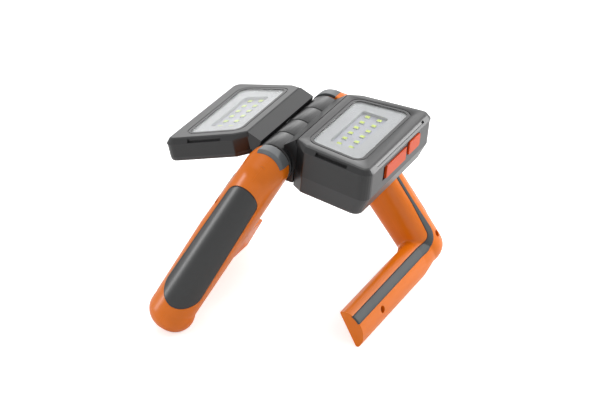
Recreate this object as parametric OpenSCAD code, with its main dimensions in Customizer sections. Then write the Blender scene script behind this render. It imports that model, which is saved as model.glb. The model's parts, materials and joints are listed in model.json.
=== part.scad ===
/* [Stance] */
// Angle of each leg from upright when the light stands
leg_open = 28; // [22:1:34]
// Droop of the battery lamp below level
right_droop = 5.5; // [0:0.5:10]
// Droop of the slim lamp below level
left_droop = 14; // [6:0.5:18]

/* [Hinge] */
// Diameter of the hinge barrel
barrel_d = 32; // [30:0.5:34]
// Length of one of the four hinge knuckles
knuckle_l = 23.8; // [22:0.2:26]
// Gap between neighbouring knuckles
knuckle_gap = 0.4; // [0.3:0.1:0.8]
// Diameter of the steel axle
axle_d = 8; // [6:0.5:10]
// Radial running clearance on the axle
run_clear = 0.05; // [0.03:0.01:0.1]
// Thickness of the friction washers beside the barrel
washer_t = 2.2; // [1.5:0.1:3]

/* [Lamps] */
// Height of the lit faces above the hinge axis
face_h = 25.3; // [24.5:0.1:27]
// Distance from the hinge axis to the near edge of a lamp
lamp_near = 17; // [16.8:0.1:19]
// Reach of the battery lamp from the hinge axis
right_reach = 85; // [82:0.5:88]
// Reach of the slim lamp from the hinge axis
left_reach = 86; // [82:0.5:88]
// Length of a lamp at its near edge
near_l = 102; // [98:0.5:102.5]
// Slant of a lamp's two ends
end_angle = 7; // [4:0.5:8]
// Depth of the battery lamp from face to back
right_t = 40; // [37:0.5:42]
// Depth of the slim lamp from face to back
left_t = 18.3; // [17.5:0.1:19]
// Wall thickness of the lamp housings
wall = 2.4; // [2:0.1:2.8]
// Depth of the bezel frames
bezel_t = 4.6; // [4.4:0.1:5]
// Size of the bevel round the bezel frames
bevel = 4.1; // [3:0.1:4.2]

/* [Windows] */
// Width of the window, away from the hinge
window_w = 43; // [40:0.5:45]
// Margin between the window and a lamp's ends
window_margin = 13; // [12:0.5:15]
// Distance from the hinge axis to the window
window_near = 27; // [26:0.5:28]
// Corner radius of the window
window_r = 6; // [4:0.5:8]
// Thickness of the clear lens
lens_t = 1.4; // [1:0.1:2]
// Spacing of the LEDs
led_pitch = 10; // [9:0.1:10.4]
// Side of one LED
led_w = 4; // [3:0.1:5]

/* [Controls] */
// Length of the power button
button_l = 20; // [17:0.5:21]
// Length of the charging flap
flap_l = 36; // [32:0.5:37]
// Height of the power button and the charging flap
control_h = 11; // [8:0.2:11.4]
// Travel of the power button
button_travel = 1; // [0.6:0.1:1.2]

/* [Legs] */
// Diameter of the leg's hinge head
head_d = 33; // [32:0.5:35]
// Depth of a leg along the hinge
leg_depth = 28; // [26:0.5:30]
// Outward lean of a leg along the hinge
splay = 11; // [9:0.5:12]
// Drop from the hinge axis to the bend
bend_drop = 140; // [134:1:150]
// Width of a leg at its bend
bend_w = 35.6; // [33:0.2:37]
// Drop from the hinge axis to the middle of the grip bar
grip_drop = 143.5; // [138:0.5:154]
// Height of the grip bar
grip_h = 32; // [30:0.5:34]
// Width of the grip bar when both halves are together
grip_w = 25; // [23:0.5:27]
// Half the length of the split stretch of the grip bar
grip_half_l = 50.8; // [46:0.2:52]
// Gap between the two halves of the grip bar when closed
grip_gap = 0.4; // [0.3:0.1:0.8]
// Wall thickness of the leg shells
leg_wall = 3.2; // [3:0.1:3.6]
// Depth of the seats of the soft grip and the rubber strip
seat_depth = 1.6; // [1.2:0.1:1.8]
// Width of the rubber strip on the foot
strip_w = 8; // [7:0.5:10]
// Width of the rubber strip on the stem
strip_top_w = 3.4; // [3:0.2:6]
// Depth of the flat that each foot stands on
foot_flat = 1.2; // [0.8:0.1:1.6]

/* [Hidden] */

// Shared roundness: true curves, and the fewer steps of blended forms
$fn = 64;
blend_fn = 28;
eps = 0.02;

// Hinge
barrel_r = barrel_d / 2;
barrel_l = 4 * knuckle_l;
axle_r = axle_d / 2;
bore_r = axle_r + run_clear;
sweep_gap = 0.4;
hub_wall = 5;
hub_r = axle_r + hub_wall;
hub_l = 13.5;
nut_t = 5;
axle_half = barrel_l / 2 + washer_t + hub_l + nut_t + 0.6;

// Stance: the feet stand on z = 0, and the two lamps reach out equally far from x = 0
axis_h = (grip_drop + grip_h / 2) * cos(leg_open) - foot_flat;
left_out = left_reach * cos(left_droop) + (face_h - bevel) * sin(left_droop);
right_out = right_reach * cos(right_droop) + (face_h - bevel) * sin(right_droop);
axis_x = (left_out - right_out) / 2;

// Lamps, in a frame on the hinge axis with x away from it and z out of the lit face
shell_inset = 0.5;
slope_l = near_l - 14;
corner_cut = 10;
near_corner_r = 3;
far_corner_r = 8;
deck = face_h - bezel_t;
right_back = face_h - right_t;
left_back = face_h - left_t;
right_seam = 0;
left_seam = left_back + 3.4;
right_low = -barrel_r * 0.8;
left_low = min(left_seam, barrel_r / 2);
cover_rim = 2.5;
cover_lean = 4.5;
pane_drop = 0.2;
lip_w = 2;
lens_clear = 0.1;
lens_top = face_h - pane_drop;
reflector_top = lens_top - lens_t;
board_t = 1.6;
board_top = face_h - 4.4;
led_t = 1.1;
led_rows = 2;
led_columns = 6;
pocket_l = led_columns * led_pitch - 2;
pocket_w = led_rows * led_pitch + 2;
led_mid = window_near + window_w / 2;

// Controls on the battery lamp's outer wall
side = right_reach - shell_inset;
control_z = 11.8;
control_clear = 0.3;
button_y = 22.4;
button_z = control_z + 1.6;
flap_y = button_y - button_l / 2 - flap_l - 3;
flap_proud = 0.9;
flap_seat = 1.3;
flap_pin_r = 1.2;
flap_pin_x = side - 1.2;
flap_stub_r = 0.8;
flap_stub_l = 1.4;
hinge_pad_t = 1.6;
flap_pin_y = flap_y + flap_l - flap_pin_r;
button_proud = 1.3;
flange_t = 2;
circuit_z = control_z - 4;
circuit_w = 26;
circuit_l = 66;
circuit_in = wall + flange_t + button_travel + 0.6;
circuit_front = -28;
post_r = 2.4;
socket_y = flap_y + 17;
socket_w = 9;
socket_t = 3.2;

// Screws
screw_r = 1.3;
screw_head_r = 2.7;
screw_head_t = 1.8;
screw_boss_r = 4;
screw_grip = 6;
screw_tip = 1.2;
right_sink = 5;
left_sink = 1.4;

// Battery
cell_r = 9.1;
cell_l = 65;
cell_x = 36;
cell_z = -2;
cradle_w = 16;
rib_t = 3;

// Legs, in a frame on the hinge axis with the leg hanging straight down and the foot side at +x
head_r = head_d / 2;
head_in = barrel_l / 2 + washer_t;
head_l = 9;
leg_y = head_in + leg_depth / 2;
bend_depth = leg_depth + 6;
heel_shift = -2;
bow_drop = 62;
bow_shift = 1.5;
stub_y = leg_y + bend_drop * tan(splay) - bend_depth / 2 - 6;
cavity_top = 34;
grip_top = 12;
grip_end = bend_drop - 9;
grip_w0 = 26.4;
grip_w1 = 31;
grip_shift = -0.6;
grip_proud = 0.5;
strip_proud = 0.4;
strip_shift = -4;
strip_drop = grip_drop - 6;
strip_bend_r = 10;
strip_top = 16;
strip_knee = 98;
strip_knee_r = 150;
cap_l = 12;
cap_t = 2.2;
cap_half_angle = 48;
cap_proud = 0.25;
plate_t = 1.8;
leg_screws = [[leg_y + 38 * tan(splay) + 4.2, 38], [leg_y + 134 * tan(splay) + 3, 134], [-14, grip_drop + 4]];

// A corner of an outline, rounded to radius r
function unit(v) = v / norm(v);
function corner(a, b, c, r, steps = 6) =
    let (u = unit(a - b), w = unit(c - b), half = acos(u * w) / 2)
    let (m = b + unit(u + w) * r / sin(half), s = b + u * r / tan(half) - m, e = b + w * r / tan(half) - m)
    let (from = atan2(s.y, s.x), turn = (atan2(e.y, e.x) - from + 540) % 360 - 180)
    [for (i = [0:steps]) m + r * [cos(from + turn * i / steps), sin(from + turn * i / steps)]];

// An outline with each corner rounded to its own radius
function rounded(pts, radii) =
    let (n = len(pts))
    [for (i = [0:n - 1]) each radii[i] > 0
        ? corner(pts[(i + n - 1) % n], pts[i], pts[(i + 1) % n], radii[i]) : [pts[i]]];

function box_outline(w, l, r) =
    rounded([[-w / 2, -l / 2], [w / 2, -l / 2], [w / 2, l / 2], [-w / 2, l / 2]], [r, r, r, r]);

// Half length of a lamp at distance p from the hinge axis
function half_len(p) = near_l / 2 + (p - lamp_near) * tan(end_angle);

// Plan of a lamp, drawn in from its edge by inset and from its hinge side by near_inset.
// Its corners beside the hinge are cut back to the wedge.
function lamp_plan(reach, inset, near_inset) =
    let (n = lamp_near + near_inset, c = lamp_near + corner_cut + near_inset, f = reach - inset)
    let (a = slope_l / 2 - near_inset, b = half_len(c) - inset, d = half_len(f) - inset)
    let (far_r = max(far_corner_r - inset, 0.6), near_r = max(near_corner_r - inset, 0.6))
    rounded([[n, -a], [c, -b], [f, -d], [f, d], [c, b], [n, a]], [1, near_r, far_r, far_r, near_r, 1]);

// Plan of the window, grown by grow
function window_plan(grow) =
    let (n = window_near - grow, f = window_near + window_w + grow, r = window_r + grow)
    let (a = half_len(n) - window_margin + grow, b = half_len(f) - window_margin + grow)
    rounded([[n, -a], [f, -b], [f, b], [n, a]], [r, r, r, r]);

module lamp_layer(reach, z, inset, near_inset) {
    translate([0, 0, z]) linear_extrude(eps) polygon(lamp_plan(reach, inset, near_inset));
}

module on_axis() {
    translate([axis_x, 0, axis_h]) children();
}

module right_lamp() {
    on_axis() rotate([0, right_droop, 0]) children();
}

module left_lamp() {
    on_axis() mirror([1, 0, 0]) rotate([0, left_droop, 0]) children();
}

// A disc, ring or hole along the hinge axis from y0 to y1
module along_hinge(y0, y1, r) {
    translate([0, y0, 0]) rotate([-90, 0, 0]) cylinder(h = y1 - y0, r = r);
}

module knuckle(i) {
    l = knuckle_l - knuckle_gap;
    r = barrel_r;
    e = 0.7;
    y0 = i * knuckle_l - barrel_l / 2 + knuckle_gap / 2;
    translate([0, y0, 0]) rotate([-90, 0, 0]) rotate_extrude()
        polygon([[0, 0], [r - e, 0], [r, e], [r, l - e], [r - e, l], [0, l]]);
}

// Room for a knuckle of the other lamp
module knuckle_room(i) {
    y0 = i * knuckle_l - barrel_l / 2;
    along_hinge(y0 - knuckle_gap / 2, y0 + knuckle_l + knuckle_gap / 2, barrel_r + sweep_gap);
}

// Wedge between the barrel and the lamp, with the sloping face on top and its underside at low
module hinge_wedge(bottom, low) {
    near = 0.83 * sqrt(pow(barrel_r, 2) - pow(low, 2));
    top = face_h - 0.6;
    rotate([90, 0, 0]) linear_extrude(slope_l, center = true)
        polygon([[barrel_r * 0.44, barrel_r + 1], [lamp_near - 0.2, top], [lamp_near - 0.2, deck],
            [lamp_near + wall, deck], [lamp_near + wall, bottom], [lamp_near, bottom],
            [lamp_near, low], [near, low]]);
}

// Shallow slots in the bevel at the two ends of a bezel
module end_slots() {
    near = lamp_near + 20;
    slot_l = 28;
    slot_depth = bevel * 0.7;
    for (m = [0, 1]) mirror([0, m, 0])
        translate([near, -half_len(near), face_h - bevel + 0.3]) rotate([0, 0, -end_angle])
            translate([0, -5, 0]) cube([slot_l, 5 + slot_depth, bevel - 1.5]);
}

function screw_places(reach) =
    [for (x = [lamp_near + 14.5, reach - 11], s = [-1, 1]) [x, s * (half_len(x) - 6.8)]];

// A lamp's housing: walls, hinge wedge and its two knuckles
module lamp_housing(reach, seam, low, own, other) {
    difference() {
        union() {
            difference() {
                union() {
                    translate([0, 0, seam]) linear_extrude(deck - seam)
                        polygon(lamp_plan(reach, shell_inset, shell_inset));
                    hinge_wedge(seam, low);
                }
                translate([0, 0, seam - 1]) linear_extrude(deck - seam + 2)
                    polygon(lamp_plan(reach, shell_inset + wall, shell_inset + wall));
                for (i = other) knuckle_room(i);
            }
            for (i = own) knuckle(i);
            for (s = screw_places(reach)) translate([s.x, s.y, seam])
                cylinder(h = deck - seam, r = screw_boss_r);
        }
        along_hinge(-barrel_l, barrel_l, bore_r);
        for (s = screw_places(reach)) translate([s.x, s.y, seam - 1])
            cylinder(h = 1 + screw_grip + screw_tip, r = screw_r + run_clear);
    }
}

// A lamp's bezel: a frame with rounded edges and a lip over the reflector's rim
module lamp_bezel(reach) {
    difference() {
        hull() {
            translate([0, 0, deck]) linear_extrude(bezel_t - bevel) polygon(lamp_plan(reach, 0, 0));
            lamp_layer(reach, face_h - 0.6, bevel * 0.72, 0.3);
            lamp_layer(reach, face_h - eps, bevel + 0.4, 0.9);
        }
        translate([0, 0, deck - 1]) linear_extrude(bezel_t + 2) polygon(window_plan(0));
        translate([0, 0, deck - 1]) linear_extrude(reflector_top - deck + 1) polygon(window_plan(lip_w));
        // Fine groove round the window
        translate([0, 0, face_h - 0.5]) linear_extrude(2) difference() {
            polygon(window_plan(3.1));
            polygon(window_plan(2.3));
        }
        end_slots();
    }
}

// A lamp's pane: it fills the window and lies on the reflector
module lamp_lens() {
    translate([0, 0, reflector_top]) linear_extrude(lens_t) polygon(window_plan(-lens_clear));
}

module lamp_reflector() {
    translate([0, 0, board_top]) linear_extrude(reflector_top - board_top) difference() {
        polygon(window_plan(lip_w - lens_clear));
        translate([led_mid, 0]) polygon(box_outline(pocket_w, pocket_l, 3));
    }
}

module lamp_led_board() {
    translate([led_mid, 0, board_top - board_t]) linear_extrude(board_t)
        polygon(box_outline(pocket_w + 6, pocket_l + 6, 2));
}

// Place of LED i in a row of count, about the row's middle
function grid(i, count) = (i - (count - 1) / 2) * led_pitch;

module lamp_leds() {
    for (i = [0:led_rows - 1], j = [0:led_columns - 1])
        translate([led_mid + grid(i, led_rows) - led_w / 2, grid(j, led_columns) - led_w / 2, board_top])
            cube([led_w, led_w, led_t]);
}

// A screw with its head's underside at the origin and its shank going up
module screw(l) {
    difference() {
        union() {
            translate([0, 0, -screw_head_t]) cylinder(h = screw_head_t, r = screw_head_r);
            cylinder(h = l, r = screw_r);
        }
        for (a = [0, 90]) rotate(a) translate([-1.6, -0.35, -screw_head_t - 1]) cube([3.2, 0.7, 1.9]);
    }
}

// Screws through a back cover into the housing's bosses
module cover_screws(reach, seam, sink) {
    for (s = screw_places(reach)) translate([s.x, s.y, seam - sink]) screw(sink + screw_grip);
}

module screw_cuts(reach, seam, sink, back) {
    for (s = screw_places(reach)) translate([s.x, s.y, 0]) {
        translate([0, 0, back - 1]) cylinder(h = seam - back + 2, r = screw_r + run_clear);
        translate([0, 0, back - 1]) cylinder(h = seam - sink - back + 1, r = screw_head_r + 0.2);
    }
}

// A back cover with a rounded rim, whose outer wall leans in towards the back
module cover_form(reach, seam, back, lean) {
    rim = min(cover_rim, (seam - back) * 0.5);
    low = reach - lean;
    hull() {
        lamp_layer(reach, seam - eps, shell_inset, shell_inset);
        lamp_layer(low, back + rim, shell_inset + rim * 0.12, shell_inset);
        lamp_layer(low, back + rim * 0.3, shell_inset + rim * 0.4, shell_inset);
        lamp_layer(low, back, shell_inset + rim, shell_inset);
    }
}

module right_housing() {
    opening_h = control_h + 2 * control_clear;
    stub_h = opening_h + 2 * flap_stub_l;
    color("#4a4a4c") right_lamp() difference() {
        union() {
            lamp_housing(right_reach, right_seam, right_low, [0, 2], [1, 3]);
            // Pad behind the flap's pivot
            translate([side - wall - hinge_pad_t, flap_pin_y - 2, control_z - stub_h / 2])
                cube([hinge_pad_t + 1, 4.5, stub_h]);
        }
        // Hole of the power button
        translate([side - wall - 1, button_y - button_l / 2 - control_clear, button_z - opening_h / 2])
            cube([wall + 4, button_l + 2 * control_clear, opening_h]);
        // Seat, pin groove and through hole of the charging flap, and the finger scoop in front of it
        translate([side - flap_seat, flap_y - control_clear, control_z - opening_h / 2])
            cube([flap_seat + 3, flap_l - flap_pin_r + control_clear, opening_h]);
        translate([flap_pin_x, flap_pin_y, control_z]) {
            cylinder(h = opening_h, r = flap_pin_r + run_clear, center = true);
            cylinder(h = stub_h, r = flap_stub_r + run_clear, center = true);
            translate([0, 0, -opening_h / 2]) cube([3, 2 * flap_pin_r, opening_h]);
        }
        translate([side - wall - 1, socket_y - socket_w / 2 - 1, control_z - 3])
            cube([wall + 3, socket_w + 2, 6]);
        translate([side + 1.2, flap_y - 1.5, control_z - opening_h / 2]) cylinder(h = opening_h, r = 3.4);
    }
}

// The battery lamp's bezel has a finger groove along its outer bevel
module right_bezel() {
    groove_l = 84;
    color("#5f5f60") right_lamp() difference() {
        lamp_bezel(right_reach);
        translate([right_reach - bevel / 2, 0, face_h - bevel / 2]) rotate([0, 45, 0])
            translate([-1, -groove_l / 2, -1]) cube([2, groove_l, 10]);
    }
}
module right_lens() { color("#d8dadc", 0.35) right_lamp() lamp_lens(); }
module right_reflector() { color("#bebec0") right_lamp() lamp_reflector(); }
module right_led_board() { color("#e6e6e2") right_lamp() lamp_led_board(); }
module right_leds() { color("#e8f0a0") right_lamp() lamp_leds(); }

module right_back_cover() {
    floor_z = right_back + wall;
    inside = shell_inset + wall + 1.4;
    post_in = post_r + 1.6;
    post_x = side - circuit_in - circuit_w + post_in;
    post_y = circuit_front + post_in;
    color("#505052") right_lamp() difference() {
        union() {
            difference() {
                cover_form(right_reach, right_seam, right_back, cover_lean);
                translate([0, 0, floor_z]) linear_extrude(right_seam - floor_z + 1)
                    polygon(lamp_plan(right_reach - cover_lean, inside, inside));
            }
            for (s = screw_places(right_reach)) translate([s.x, s.y, right_back + 1])
                cylinder(h = right_seam - right_back - 1, r = screw_boss_r);
            // Cradle of the cell and posts of the circuit board
            for (y = [-cell_l / 3, cell_l / 3]) translate([cell_x - cradle_w / 2, y - rib_t / 2, floor_z - 1])
                cube([cradle_w, rib_t, cell_z - floor_z + 1]);
            for (x = [0, 1], y = [0, 1])
                translate([post_x + x * (circuit_w - 2 * post_in), post_y + y * (circuit_l - 2 * post_in), 0])
                    translate([0, 0, floor_z - 1]) cylinder(h = circuit_z - floor_z + 1, r = post_r);
        }
        screw_cuts(right_reach, right_seam, right_sink, right_back);
        along_hinge_at(cell_x, cell_z, cell_l + 10, cell_r + lens_clear);
    }
}

// A cylinder beside the hinge axis and parallel to it
module along_hinge_at(x, z, l, r) {
    translate([x, 0, z]) along_hinge(-l / 2, l / 2, r);
}

module right_cover_screws() {
    color("#8c8f92") right_lamp() cover_screws(right_reach, right_seam, right_sink);
}

module battery_cell() {
    color("#3d6fa8") right_lamp() {
        along_hinge_at(cell_x, cell_z, cell_l, cell_r);
        translate([cell_x, 0, cell_z]) along_hinge(cell_l / 2, cell_l / 2 + 1.5, 3);
    }
}

module control_board() {
    color("#2f6b45") right_lamp() translate([side - circuit_in - circuit_w, circuit_front, circuit_z])
        cube([circuit_w, circuit_l, board_t]);
}

// Charging socket on the circuit board, open to the lamp's outer wall
module charge_socket() {
    z = circuit_z + board_t;
    color("#b9bcc0") right_lamp() difference() {
        translate([side - wall - 8, socket_y - socket_w / 2, z]) cube([7.6, socket_w, socket_t]);
        translate([side - wall - 7, socket_y - socket_w / 2 + 0.5, z + 0.5])
            cube([8, socket_w - 1, socket_t - 1]);
    }
}

// Push switch behind the power button
module power_switch() {
    back = side - wall - flange_t - button_travel - 0.4;
    color("#26282a") right_lamp() {
        translate([back - 5, button_y - 3, circuit_z + board_t]) cube([4, 6, 5]);
        translate([back - 1, button_y, control_z]) rotate([0, 90, 0]) cylinder(h = 0.9, r = 1.6);
    }
}

module power_button() {
    z0 = button_z - control_h / 2;
    color("#e8643a") right_lamp() {
        translate([side - wall - 0.5, button_y, button_z]) rotate([90, 0, 90])
            linear_extrude(wall + 0.5 + button_proud) polygon(box_outline(button_l, control_h, 2));
        translate([side - wall - flange_t - 0.1, button_y - button_l / 2 - 1.5, z0 - 1])
            cube([flange_t, button_l + 3, control_h + 2]);
    }
}

// Rubber flap over the charging socket, with a moulded pin at its rear end and a plug behind it
module charge_flap() {
    z0 = control_z - control_h / 2;
    plug_l = socket_w - 1.4;
    color("#e8643a") right_lamp() {
        translate([flap_pin_x, flap_pin_y, control_z]) {
            cylinder(h = control_h, r = flap_pin_r, center = true);
            cylinder(h = control_h + 2 * flap_stub_l, r = flap_stub_r, center = true);
        }
        translate([side - flap_seat + 0.2, flap_y, z0])
            cube([flap_seat - 0.2 + flap_proud, flap_l - flap_pin_r, control_h]);
        translate([side - wall, socket_y - plug_l / 2, control_z - 1.4])
            cube([wall - flap_seat + 0.4, plug_l, 2.8]);
    }
}

module left_housing() {
    color("#4a4a4c") left_lamp() lamp_housing(left_reach, left_seam, left_low, [1, 3], [0, 2]);
}

module left_bezel() { color("#5f5f60") left_lamp() lamp_bezel(left_reach); }
module left_lens() { color("#d8dadc", 0.35) left_lamp() lamp_lens(); }
module left_reflector() { color("#bebec0") left_lamp() lamp_reflector(); }
module left_led_board() { color("#e6e6e2") left_lamp() lamp_led_board(); }
module left_leds() { color("#e8f0a0") left_lamp() lamp_leds(); }

module left_back_cover() {
    color("#505052") left_lamp() difference() {
        cover_form(left_reach, left_seam, left_back, 0);
        screw_cuts(left_reach, left_seam, left_sink, left_back);
    }
}

module left_cover_screws() { color("#8c8f92") left_lamp() cover_screws(left_reach, left_seam, left_sink); }

module hinge_axle() {
    color("#b4b7ba") on_axis() along_hinge(-axle_half, axle_half, axle_r);
}

// Hexagon nuts on the two ends of the axle
module hinge_nuts() {
    color("#9a9da0") on_axis() for (m = [0, 1]) mirror([0, m, 0]) difference() {
        translate([0, head_in + hub_l + 0.2, 0]) rotate([-90, 0, 0])
            cylinder(h = nut_t, r = axle_r + 3.4, $fn = 6);
        along_hinge(head_in, head_in + hub_l + nut_t + 1, axle_r + run_clear / 2);
    }
}

module friction_washers() {
    color("#232425") on_axis() for (m = [0, 1]) mirror([0, m, 0]) difference() {
        along_hinge(barrel_l / 2, head_in - 0.1, barrel_r - 3);
        along_hinge(0, head_in + 1, bore_r);
    }
}

// The front leg is the rear leg turned round by half a turn
module rear_leg() {
    on_axis() rotate([0, -leg_open, 0]) children();
}

module front_leg() {
    on_axis() rotate([0, 0, 180]) rotate([0, -leg_open, 0]) children();
}

// Middle of a leg's stem at a drop below the hinge axis, off to its foot side by shift
function stem_mid(drop, shift = 0) = [shift, leg_y + drop * tan(splay), -drop];

module ellipsoid(radii) {
    scale(radii) sphere(r = 1, $fn = blend_fn);
}

// Oval slice of the grip bar at y
module bar_slice(y, grow) {
    translate([0, y, -grip_drop]) rotate([-90, 0, 0]) linear_extrude(eps)
        scale([grip_w / 2 + grow, grip_h / 2 + grow]) circle(r = 1, $fn = blend_fn);
}

// Stem from the hinge head to the bend, a little bowed to the foot side, grown or drawn in
module stem_form(grow) {
    hull() {
        along_hinge_low(head_in, head_in + head_l, head_r + grow);
        translate(stem_mid(6)) ellipsoid([head_r - 0.8 + grow, leg_depth / 2 + grow, head_r - 0.8 + grow]);
        translate(stem_mid(bow_drop, bow_shift)) ellipsoid([head_r + 0.3 + grow, leg_depth / 2 + grow, 10]);
        translate(stem_mid(bend_drop))
            ellipsoid([bend_w / 2 + grow, bend_depth / 2 + grow, grip_h / 2 + grow]);
    }
}

module along_hinge_low(y0, y1, r) {
    translate([0, y0, 0]) rotate([-90, 0, 0]) cylinder(h = y1 - y0, r = r, $fn = 2 * blend_fn);
}

// Round stretch from the bend to where the grip bar splits
module stub_form(grow) {
    shy = 0.25;
    hull() {
        translate(stem_mid(bend_drop, heel_shift))
            ellipsoid([bend_w / 2 + grow - shy, bend_depth / 2 + grow - shy, grip_h / 2 + grow - shy]);
        bar_slice(stub_y, grow - shy);
    }
}

// Half oval of the grip bar, flat towards the other leg
module half_bar(y0, y1, grow) {
    a = grip_w / 2 + grow;
    b = grip_h / 2 + grow;
    steps = 20;
    flat = max(grip_gap / 2 - grow, grip_gap / 2);
    low = asin(flat / a);
    translate([0, y1, -grip_drop]) rotate([90, 0, 0]) linear_extrude(y1 - y0)
        polygon([for (i = [0:steps]) let (t = low + (180 - 2 * low) * i / steps)
            [a * sin(t), -b * cos(t)]]);
}

module leg_form(grow) {
    stem_form(grow);
    stub_form(grow);
    half_bar(-grip_half_l, stub_y + 1, grow);
}

// Outline of the soft grip on the stem's outer end face
module grip_prism(grow) {
    r0 = grip_w0 / 2 + grow;
    r1 = grip_w1 / 2 + grow;
    z0 = -grip_top - grip_w0 / 2;
    z1 = -grip_end + grip_w1 / 2;
    translate([grip_shift, leg_y, 0]) rotate([splay, 0, 0]) translate([0, 60, 0]) rotate([90, 0, 0])
        linear_extrude(60) {
            polygon([[-r0, z0], [-r1, z1], [r1, z1], [r0, z0]]);
            translate([0, z0]) circle(r = r0);
            translate([0, z1]) circle(r = r1);
        }
}

// Edge of the rubber strip, off its middle line by top_off on the stem and by off on the foot:
// upper end, knee, bend and tip, as y and drop
function strip_edge(top_off, off) =
    let (y = leg_y + strip_shift, low = strip_drop + off)
    [for (d = [strip_top, strip_knee]) [y + top_off / cos(splay) + d * tan(splay), -d],
        [y + off / cos(splay) + low * tan(splay), -low], [-grip_half_l - 1, -low]];

module strip_prism(grow) {
    top_h = strip_top_w / 2 + grow;
    h = strip_w / 2 + grow;
    o = strip_edge(top_h, h);
    i = strip_edge(-top_h, -h);
    end_r = strip_top_w * 0.4;
    translate([grip_w / 4, 0, 0]) rotate([90, 0, 90]) linear_extrude(40)
        polygon(rounded([o[0], o[1], o[2], o[3], i[3], i[2], i[1], i[0]],
            [end_r, strip_knee_r, strip_bend_r + h, 0, 0, strip_bend_r - h, strip_knee_r, end_r]));
}

// Seats for the soft grip and the rubber strip
module leg_seats() {
    difference() {
        union() {
            grip_prism(0);
            strip_prism(0);
        }
        leg_form(-seat_depth);
    }
}

// Hollow inside a leg, with the screw bosses left standing
module leg_cavity() {
    g = -leg_wall - seat_depth * 0.4;
    difference() {
        union() {
            hull() {
                translate(stem_mid(cavity_top)) ellipsoid([head_r - 2 + g, leg_depth / 2 - 1 + g, 8]);
                translate(stem_mid(bend_drop))
                    ellipsoid([bend_w / 2 + g, bend_depth / 2 + g, grip_h / 2 + g]);
            }
            half_bar(2.6 - grip_half_l, stub_y + 24, -leg_wall);
        }
        for (s = leg_screws) translate([-30, s.x, -s.y]) rotate([0, 90, 0])
            cylinder(h = 60, r = screw_boss_r + 0.6);
    }
}

// Pocket in the hinge head for the hub and the axle's nut
module head_pocket() {
    along_hinge(head_in - 1, head_in + hub_l + nut_t + 1.6, hub_r + 0.1);
}

module cap_sector(grow) {
    a = cap_half_angle + grow * 2;
    translate([0, head_in - grow, 0]) rotate([-90, 0, 0]) rotate([0, 0, -90 - a])
        rotate_extrude(angle = 2 * a) translate([head_r - cap_t - grow, 0])
            square([cap_t + 3, cap_l + 2 * grow]);
}

// Flush cap on the head, on the side away from the leg
module leg_cap() {
    intersection() {
        stem_form(cap_proud);
        cap_sector(0);
    }
}

module leg_screw_holes() {
    for (s = leg_screws) translate([0, s.x, -s.y]) rotate([0, 90, 0]) {
        translate([0, 0, screw_seat(s) - screw_reach(s)]) cylinder(h = 40, r = screw_r + run_clear);
        translate([0, 0, screw_seat(s)]) cylinder(h = 40, r = screw_head_r + 0.3);
    }
}

// Height of a screw head's seat above the parting plane
function screw_seat(s) = s.x < stub_y ? 7 : 9;

// Length of a screw's shank: short in the grip bar, whose far side is flat
function screw_reach(s) = s.x < stub_y ? 6.2 : 14;

// Everything under the floor when the leg stands open
module floor_cut() {
    rotate([0, leg_open, 0]) translate([-200, -200, -axis_h - 50]) cube([400, 400, 50]);
}

// Everything on one side of a leg's parting plane
module side_half(s) {
    translate([s > 0 ? 0 : -60, -150, -220]) cube([60, 300, 300]);
}

// Thin plate that closes the flat side of the grip bar's half
module bar_plate(grow) {
    h = grip_h - 2 * leg_wall - 3 + 2 * grow;
    translate([grip_gap / 2 - grow, 3 - grip_half_l - grow, -grip_drop - h / 2])
        cube([plate_t + 2 * grow, stub_y + 17 + grip_half_l + 2 * grow, h]);
}

// Key that joins that plate to the cover half
module bar_key(grow) {
    w = grip_gap / 2 + plate_t;
    translate([-3, stub_y + 0.5 - grow, -grip_drop - 6 - grow])
        cube([3 + w + grow, 14 + 2 * grow, 12 + 2 * grow]);
}

// Boss on that plate for the grip bar's screw
module bar_boss(grow) {
    for (s = leg_screws) if (s.x < stub_y) translate([grip_gap / 2, s.x, -s.y]) rotate([0, 90, 0])
        cylinder(h = 4.6 + grow, r = 2.8 + grow);
}

module leg_shell() {
    difference() {
        intersection() {
            leg_form(0);
            side_half(1);
        }
        leg_seats();
        leg_cavity();
        bar_plate(0.15);
        bar_boss(0.1);
        bar_key(0.15);
        head_pocket();
        cap_sector(0.1);
        leg_screw_holes();
        floor_cut();
    }
}

module leg_cover() {
    difference() {
        union() {
            difference() {
                intersection() {
                    union() {
                        stem_form(0);
                        stub_form(0);
                    }
                    side_half(-1);
                }
                leg_seats();
                leg_cavity();
                head_pocket();
                cap_sector(0.1);
            }
            bar_plate(0);
            bar_boss(0);
            bar_key(0);
        }
        leg_screw_holes();
        floor_cut();
    }
}

module leg_hub() {
    difference() {
        along_hinge(head_in, head_in + hub_l, hub_r);
        along_hinge(head_in - 1, head_in + hub_l + 1, bore_r);
    }
}

module leg_grip() {
    difference() {
        intersection() {
            stem_form(grip_proud);
            grip_prism(-0.1);
        }
        stem_form(-seat_depth + 0.02);
    }
}

module leg_strip() {
    difference() {
        intersection() {
            leg_form(strip_proud);
            strip_prism(-0.1);
            translate([0, -grip_half_l, -220]) cube([60, 300, 300]);
        }
        leg_form(-seat_depth + 0.02);
    }
}

module leg_screw_set() {
    for (s = leg_screws) translate([screw_seat(s), s.x, -s.y]) rotate([0, -90, 0]) screw(screw_reach(s));
}

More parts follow.
